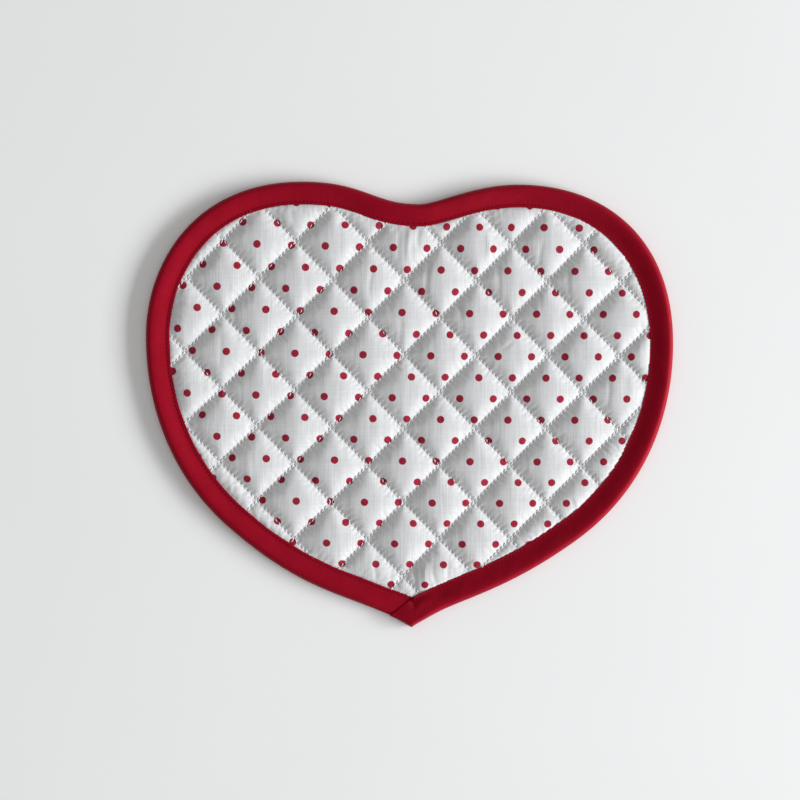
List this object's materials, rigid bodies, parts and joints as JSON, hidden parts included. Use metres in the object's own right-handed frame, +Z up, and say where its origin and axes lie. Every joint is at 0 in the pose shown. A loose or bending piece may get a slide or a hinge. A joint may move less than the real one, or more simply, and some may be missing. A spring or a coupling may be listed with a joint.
{
  "type": "placemat",
  "caption": "Heart-shaped quilted cotton placemat, white with a red dot print, its edge bound in folded red tape that laps over itself at the tip.",
  "frame": {"origin": "middle of the outline, on the surface the mat lies on", "axes": "+Z up out of the printed side, +Y from the tip towards the cleft of the heart, +X to the right seen from above"},
  "size_m": [0.35, 0.296, 0.0064],
  "materials": {
    "printed_cotton": "matt white cotton printed with small red dots",
    "red_cotton": "smooth red cotton tape with a slight sheen"
  },
  "bodies": {
    "root": {"quilted_panel": "printed_cotton", "binding": "red_cotton"}
  },
  "joints": []
}
